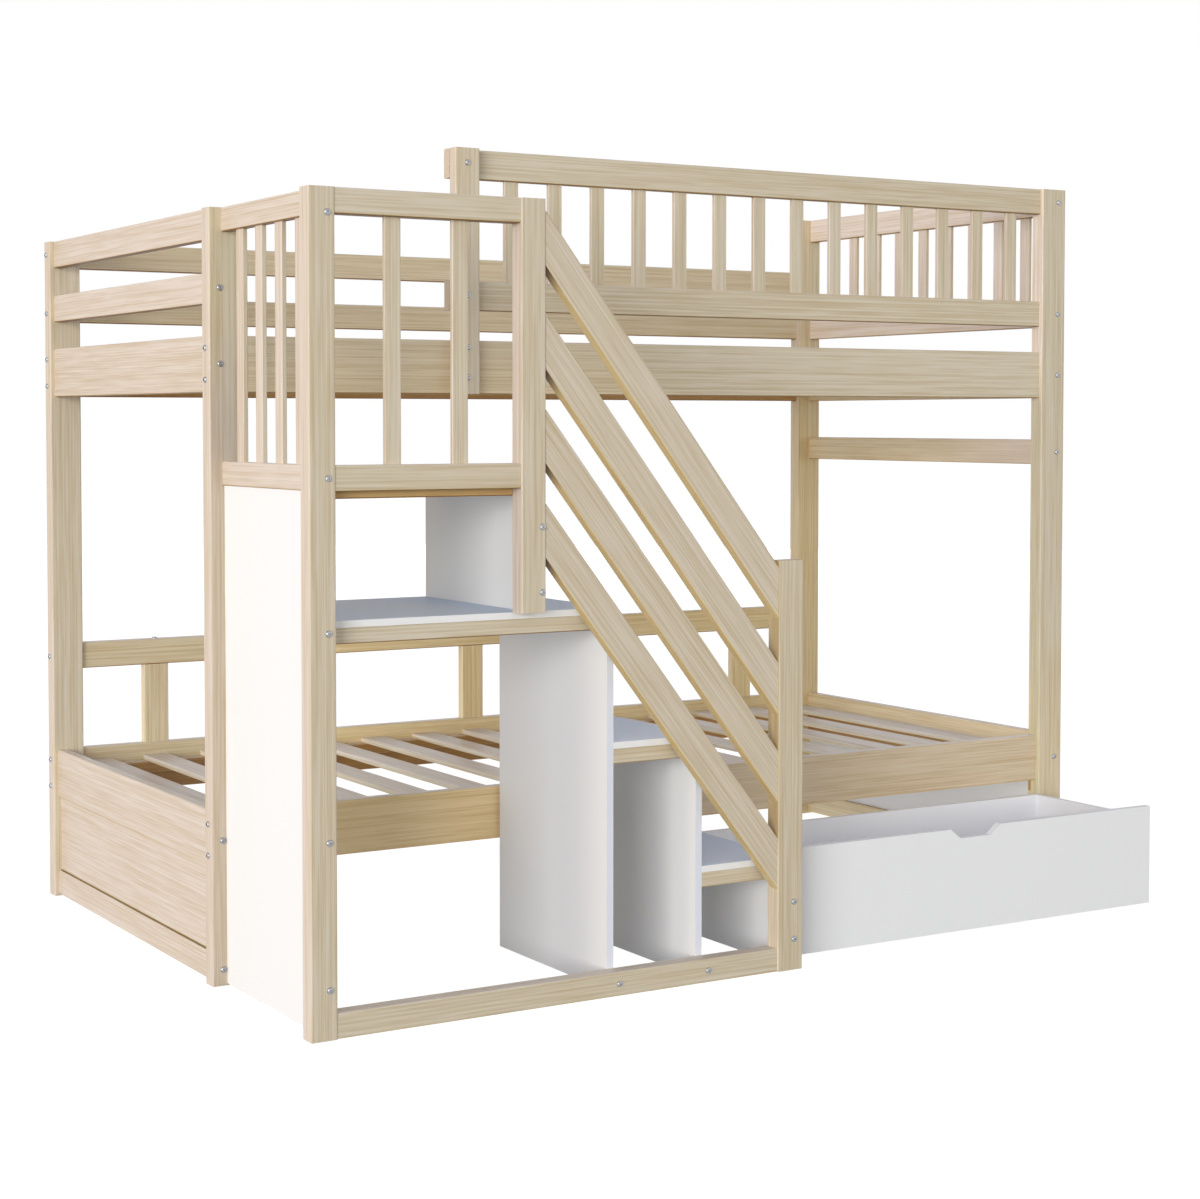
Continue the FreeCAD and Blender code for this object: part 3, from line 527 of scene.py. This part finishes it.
def wood_surface(finish, spot, run, side_light_tint=PURE_WHITE):
    """Straight pale grain: growth lines, streaks, fine fibres, slow tones and darker sawn ends, under
    painted light and shade.
    """
    axes = grain_axes(finish, spot.place, run)
    bend = grain_noise(finish, stretched(axes, DRIFT_RATES)) * DRIFT_REACH
    along, wide, deep = stretched(axes, GROWTH_RATES)
    bent = (along, wide + bend, deep - bend)
    growth = grain_noise(finish, bent, GROWTH_DETAIL, GROWTH_ROUGHNESS)
    fibres = grain_noise(finish, stretched(axes, FIBRE_RATES))
    streaks = grain_noise(finish, stretched(axes, STREAK_RATES))
    along, wide, deep = stretched(axes, TONE_RATES)
    tone = grain_noise(finish, (along, wide + TONE_SHIFT, deep), TONE_DETAIL)
    line = (LINE_SHARE + (growth - NOISE_MIDDLE) * GROWTH_WEIGHT
            + (streaks - NOISE_MIDDLE) * STREAK_WEIGHT
            + (fibres - NOISE_MIDDLE) * FIBRE_WEIGHT
            + (tone - NOISE_MIDDLE) * TONE_WEIGHT)
    colour = finish.mixed(line, WOOD_LIGHT, WOOD_LINE)
    for amount, tint in wood_shades(finish, spot, run, side_light_tint):
        colour = finish.tinted(colour, amount, tint)
    end_on = abs(grain_axes(finish, spot.facing, run)[0])
    sawn = (end_on > SAWN_LIMIT) * (SAWN_LEAST + growth * SAWN_GROWTH)
    height = fibres * WOOD_BUMP_FIBRES + growth * WOOD_BUMP_GROWTH
    roughness = WOOD_ROUGHNESS + fibres * WOOD_ROUGHNESS_SPREAD
    return finish.mixed(sawn, colour, WOOD_END), roughness, finish.bump(height, WOOD_BUMP)


def wood_finish(name, run, side_light_tint=PURE_WHITE):
    finish = new_finish(name)
    base, roughness, bump = wood_surface(finish, Spot(finish), run, side_light_tint)
    inputs = {"Base Color": base, "Roughness": roughness, "Normal": bump, "IOR": WOOD_IOR}
    return finish.shines(inputs)


def white_surface(finish, place):
    """White facing board: even colour with the faint ripple of a pressed surface."""
    ripple = finish.noise(place, RIPPLE_SCALE)
    cloud = finish.noise(place, CLOUD_SCALE)
    shade = cloud * CLOUD_SHARE + ripple * RIPPLE_SHARE
    base = finish.mixed(shade, BOARD_WHITE, BOARD_SHADE)
    roughness = BOARD_ROUGHNESS + ripple * BOARD_ROUGHNESS_SPREAD
    return base, roughness, finish.bump(ripple, BOARD_BUMP)


def white_finish(name, side=PURE_WHITE, side_front=PURE_WHITE, edge=PURE_WHITE, top=PURE_WHITE,
                 has_shelf=False):
    """White board, with painted light and shade on its left side and that side's front, front edge
    and top.
    """
    finish = new_finish(name)
    spot = Spot(finish)
    base, roughness, bump = white_surface(finish, spot.place)
    shades = [
        (spot.left, side),
        (spot.left * spot.y.ramp(PANEL_SIDE_DEPTH), side_front),
        (spot.front, edge),
        (spot.top, top),
    ]
    # Painted light and shade on the shelf top
    if has_shelf:
        on_shelf = spot.top * spot.z.within(SHELF_HEIGHT)
        at_right = spot.x.ramp(SHELF_SPAN)
        shades.append((on_shelf * (1 - at_right), SHELF_LEFT_LIGHT_TINT))
        shades.append((on_shelf * at_right, SHELF_RIGHT_SHADE_TINT))
    for amount, tint in shades:
        base = finish.tinted(base, amount, tint)
    inputs = {"Base Color": base, "Roughness": roughness, "Normal": bump,
              "Specular IOR Level": BOARD_SHINE}
    return finish.shines(inputs)


def end_panel_finish():
    """Wood on the outside of the bed's ends, white on the side that faces the bed."""
    finish = new_finish("end_panel_wood_and_white")
    spot = Spot(finish)
    wood, roughness, _ = wood_surface(finish, spot, "across_bed")
    white, _, _ = white_surface(finish, spot.place)
    inside = (spot.x * spot.endways) < INSIDE_LIMIT
    base = finish.mixed(inside, wood, white)
    return finish.shines({"Base Color": base, "Roughness": roughness, "IOR": WOOD_IOR})


def steel_finish():
    """Bright plated steel with faint handling marks."""
    finish = new_finish("bright_steel")
    marks = finish.noise(finish.place(), MARK_SCALE)
    base = finish.mixed(marks * MARK_SHARE, STEEL, STEEL_DULL)
    roughness = STEEL_ROUGHNESS + marks * STEEL_ROUGHNESS_SPREAD
    return finish.shines({"Base Color": base, "Metallic": 1.0, "Roughness": roughness})


def wheel_finish():
    """Dark moulded plastic, a little scuffed."""
    finish = new_finish("dark_wheel_plastic")
    scuffs = finish.noise(finish.place(), SCUFF_SCALE, SCUFF_DETAIL)
    base = finish.mixed(scuffs, WHEEL_GREY, WHEEL_WORN)
    roughness = WHEEL_ROUGHNESS + scuffs * WHEEL_ROUGHNESS_SPREAD
    return finish.shines({"Base Color": base, "Roughness": roughness})


def dress(names, material):
    """Gives CAD pieces their finish."""
    for name in names:
        for slot in nodes[name].material_slots:
            slot.material = material


# Bolt heads, lengths in metres
HEAD_RADIUS = 0.006
HEAD_TALL = 0.003
HEAD_ROUND = 0.0025
HEAD_SIDES = 24
ROUND_STEPS = 4
ROUND_PROFILE = 0.5
SOCKET_INSET = 0.0011
SOCKET_DEEP = 0.0022
SMOOTH_ANGLE = math.radians(40)
UP_LIMIT = 0.99
SAME_HEIGHT = 1e-5
SAME_POINT_DIGITS = 5


def deselect_all():
    for thing in bpy.context.selected_objects:
        thing.select_set(False)


def select_faces(mesh, wanted):
    """Marks the faces that a test picks, and nothing else, for edit mode."""
    for part in (*mesh.vertices, *mesh.edges):
        part.select = False
    for face in mesh.polygons:
        face.select = wanted(face)


def domed_head():
    """One bolt head: a rounded disc with a drive socket, on the origin and facing up."""
    deselect_all()
    bpy.ops.mesh.primitive_cylinder_add(
        vertices=HEAD_SIDES, radius=HEAD_RADIUS, depth=HEAD_TALL, location=(0, 0, HEAD_TALL / 2))
    head = bpy.context.active_object
    bpy.ops.object.transform_apply(location=True, rotation=True, scale=True)
    bpy.ops.object.mode_set(mode="EDIT")
    bpy.ops.mesh.select_mode(type="FACE")
    bpy.ops.object.mode_set(mode="OBJECT")
    select_faces(head.data, lambda face: face.normal.z > UP_LIMIT)
    bpy.ops.object.mode_set(mode="EDIT")
    bpy.ops.mesh.bevel(
        offset=HEAD_ROUND, segments=ROUND_STEPS, profile=ROUND_PROFILE, affect="EDGES")
    bpy.ops.object.mode_set(mode="OBJECT")
    top = max(face.center.z for face in head.data.polygons)
    select_faces(head.data, lambda face: face.normal.z > UP_LIMIT
                 and face.center.z > top - SAME_HEIGHT)
    bpy.ops.object.mode_set(mode="EDIT")
    bpy.ops.mesh.inset(thickness=SOCKET_INSET)
    bpy.ops.mesh.extrude_region_move(TRANSFORM_OT_translate={"value": (0, 0, -SOCKET_DEEP)})
    bpy.ops.object.mode_set(mode="OBJECT")
    bpy.ops.object.shade_smooth_by_angle(angle=SMOOTH_ANGLE)
    return head


def islands(mesh):
    """The separate solids of a CAD piece, each as a list of its points."""
    spots = {}
    key = []
    for vertex in mesh.vertices:
        spot = tuple(round(number, SAME_POINT_DIGITS) for number in vertex.co)
        key.append(spots.setdefault(spot, len(spots)))
    leader = list(range(len(spots)))

    def root(number):
        while leader[number] != number:
            leader[number] = leader[leader[number]]
            number = leader[number]
        return number

    for face in mesh.polygons:
        first = root(key[face.vertices[0]])
        for corner in face.vertices[1:]:
            leader[root(key[corner])] = first
    groups = {}
    for spot, number in spots.items():
        groups.setdefault(root(number), []).append(Vector(spot))
    return list(groups.values())


def head_place(points):
    """Where a bolt's head stands on the wood, and the way it faces: it is the wider end."""
    low = Vector([min(p[i] for p in points) for i in range(3)])
    high = Vector([max(p[i] for p in points) for i in range(3)])
    sides = high - low
    axis = max(range(3), key=lambda i: sides[i])
    along = Vector([i == axis for i in range(3)])
    middle = (low + high) / 2
    reach = {}
    for end in (low[axis], high[axis]):
        near = [p for p in points if abs(p[axis] - end) < HEAD_TALL / 3]
        reach[end] = max((p - middle).cross(along).length for p in near)
    outer = max(reach, key=reach.get)
    facing = along if outer == high[axis] else -along
    foot = middle.copy()
    foot[axis] = outer
    return foot - facing * HEAD_TALL, facing


def bolt_heads(pattern, node, material):
    """Copies the head onto every bolt of a CAD piece and joins the copies."""
    copies = []
    for points in islands(nodes[node].data):
        foot, facing = head_place(points)
        copy = pattern.copy()
        copy.data = pattern.data.copy()
        turn = Vector((0, 0, 1)).rotation_difference(facing).to_matrix().to_4x4()
        copy.data.transform(Matrix.Translation(foot) @ turn)
        bpy.context.scene.collection.objects.link(copy)
        copies.append(copy)
    deselect_all()
    for copy in copies:
        copy.select_set(True)
    bpy.context.view_layer.objects.active = copies[0]
    bpy.ops.object.join()
    heads = copies[0]
    heads.name = node + "_heads"
    heads.data.materials.clear()
    heads.data.materials.append(material)
    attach(heads, "bed")
    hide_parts(node)


# Studio: floor and sky, then each light's place, target, width and height, watts and colour
FLOOR_HALF = 40.0
FLOOR_DROP = 0.0004
FLOOR_COLOUR = (0.9, 0.9, 0.9, 1)
FLOOR_BOUNCE = (0.2, 0.2, 0.2, 1)
UNDER_BED_BOUNCE = (0.63, 0.66, 0.7, 1)
UNDER_BED_SPAN = (0.2, 0.7)
UNDER_BED_DEPTH = (-0.45, -0.25)
FLOOR_GLOW = 0.85
FLOOR_GLOW_LEVEL = 1.15
SKY_LEVEL = 0.46
SKY_COLOUR = (0.83, 0.84, 1.0, 1)
KEY_COLOUR = (1.0, 0.985, 0.96)
LEFT_COLOUR = (1.0, 0.89, 0.7)
FRONT_COLOUR = (1.0, 0.97, 0.72)
SOFTBOXES = {
    "key_softbox": ((-14.0, -11.0, 2.4), (0, 0, 0.8), (9.0, 7.0), 2260, KEY_COLOUR),
    "left_softbox": ((-8.0, 0.2, 1.2), (0, 0.1, 0.8), (5.0, 4.0), 220, LEFT_COLOUR),
    "front_softbox": ((-3.0, -17.0, 2.4), (0.3, 0, 0.8), (9.0, 7.0), 390, FRONT_COLOUR),
    "right_softbox": ((6.0, -7.0, 1.6), (0.3, 0, 0.8), (5.0, 4.0), 80, FRONT_COLOUR),
    "back_softbox": ((9.0, 10.0, 1.7), (0, 0, 0.8), (9.0, 3.0), 950, KEY_COLOUR),
}
# This one would mirror in the boards' tops, toward the camera
NO_MIRROR = "back_softbox"


def seen_directly(finish):
    """One for rays that should meet the white background: camera, mirror and glass rays."""
    camera, mirror, glass = [
        finish.node("ShaderNodeLightPath", output=name)
        for name in ("Is Camera Ray", "Is Glossy Ray", "Is Transmission Ray")]
    return camera.highest(mirror).highest(glass)


def floor():
    """A white floor for the eye, whose bounce on the bed is set apart and is brighter under it."""
    deselect_all()
    bpy.ops.mesh.primitive_plane_add(size=FLOOR_HALF * 2, location=(0, 0, -FLOOR_DROP))
    ground = bpy.context.active_object
    ground.name = "studio_floor"
    finish = new_finish("pale_floor")
    x, y, _ = finish.parts(finish.place())
    under_bed = (x.ramp(UNDER_BED_SPAN) * (x < BED_RIGHT)
                 * y.ramp(UNDER_BED_DEPTH) * (y < BED_BACK))
    bounce_colour = finish.mixed(under_bed, FLOOR_BOUNCE, UNDER_BED_BOUNCE)
    bounce = finish.node("ShaderNodeEmission", None, {"Color": bounce_colour, "Strength": 1.0})
    matt = finish.node("ShaderNodeBsdfDiffuse", None, {"Color": FLOOR_COLOUR})
    glow = finish.node(
        "ShaderNodeEmission", None, {"Color": PURE_WHITE, "Strength": FLOOR_GLOW_LEVEL})
    pale = finish.node("ShaderNodeMixShader", None, {0: FLOOR_GLOW, 1: matt, 2: glow})
    by_ray = {0: seen_directly(finish), 1: bounce, 2: pale}
    finish.ends(finish.node("ShaderNodeMixShader", None, by_ray))
    ground.data.materials.append(finish.owner)


def sky():
    world = bpy.data.worlds.new("studio")
    bpy.context.scene.world = world
    finish = Finish(world)
    light = finish.node(
        "ShaderNodeBackground", None, {"Color": SKY_COLOUR, "Strength": SKY_LEVEL})
    backdrop = finish.node("ShaderNodeBackground", None, {"Color": PURE_WHITE, "Strength": 1.0})
    by_ray = {0: seen_directly(finish), 1: light, 2: backdrop}
    finish.ends(finish.node("ShaderNodeMixShader", None, by_ray))


def softbox(name, place, target, extent, watts, colour):
    lamp = bpy.data.lights.new(name, "AREA")
    lamp.shape = "RECTANGLE"
    lamp.size, lamp.size_y = extent
    lamp.energy = watts
    lamp.color = colour
    holder = bpy.data.objects.new(name, lamp)
    holder.location = place
    toward = Vector(target) - Vector(place)
    holder.rotation_euler = toward.to_track_quat("-Z", "Y").to_euler()
    holder.visible_glossy = name != NO_MIRROR
    bpy.context.scene.collection.objects.link(holder)


# Camera solved from the photograph's straight edges
CAMERA_PLACE = (-2.5715, -4.1096, 1.0404)
CAMERA_YAW = math.radians(30.649)
CAMERA_PITCH = math.radians(2.283)
CAMERA_REACH = 200
IMAGE_WIDE = 1200
IMAGE_TALL = 1199
FOCAL_PIXELS = 2247.6
CENTRE_PIXEL = (564.0, 510.2)
SENSOR = 36.0


def photo_camera():
    camera = bpy.data.cameras.new("photo_camera")
    camera.sensor_fit = "HORIZONTAL"
    camera.sensor_width = SENSOR
    camera.lens = FOCAL_PIXELS * SENSOR / IMAGE_WIDE
    camera.shift_x = (IMAGE_WIDE / 2 - CENTRE_PIXEL[0]) / IMAGE_WIDE
    camera.shift_y = (CENTRE_PIXEL[1] - IMAGE_TALL / 2) / IMAGE_WIDE
    camera.clip_end = CAMERA_REACH
    holder = bpy.data.objects.new("photo_camera", camera)
    holder.location = CAMERA_PLACE
    holder.rotation_euler = (math.pi / 2 - CAMERA_PITCH, 0, -CAMERA_YAW)
    bpy.context.scene.collection.objects.link(holder)
    bpy.context.scene.camera = holder


for run, names in GRAIN.items():
    dress(names, wood_finish("pale_wood_" + run, run))
# Slats with painted light on their left sides
dress(SLATS, wood_finish("pale_wood_slats", "across_bed", SLAT_SIDE_LIGHT_TINT))
# White boards with painted light on their front faces
dress(WHITE_BOARDS, white_finish("white_faced_board", edge=DRAWER_FRONT_LIGHT_TINT))
# White board with painted shade on its left side, under the landing
dress(["landing_riser_panel"], white_finish("white_board_under_landing", side=RISER_SHADE_TINT))
# Stair panels with painted light and shade on their left sides and front edges
dress(["stair_panels"], white_finish(
    "white_stair_panel", side=PANEL_SIDE_SHADE_TINT, side_front=PANEL_FRONT_LIGHT_TINT, edge=PANEL_EDGE_SHADE_TINT))
# Treads with painted shade on their tops and painted light and shade on the shelf top
dress(TREADS, white_finish("white_tread", top=TREAD_TOP_SHADE_TINT, has_shelf=True))
dress(["end_panels"], end_panel_finish())
steel = steel_finish()
dress(["drawer_caster_brackets"], steel)
dress(["front_wheels", "back_wheels"], wheel_finish())

pattern = domed_head()
for bolts in BOLTS:
    bolt_heads(pattern, bolts, steel)
bpy.data.objects.remove(pattern)

floor()
sky()
for name, setting in SOFTBOXES.items():
    softbox(name, *setting)
photo_camera()
bpy.context.scene.view_settings.view_transform = "Standard"
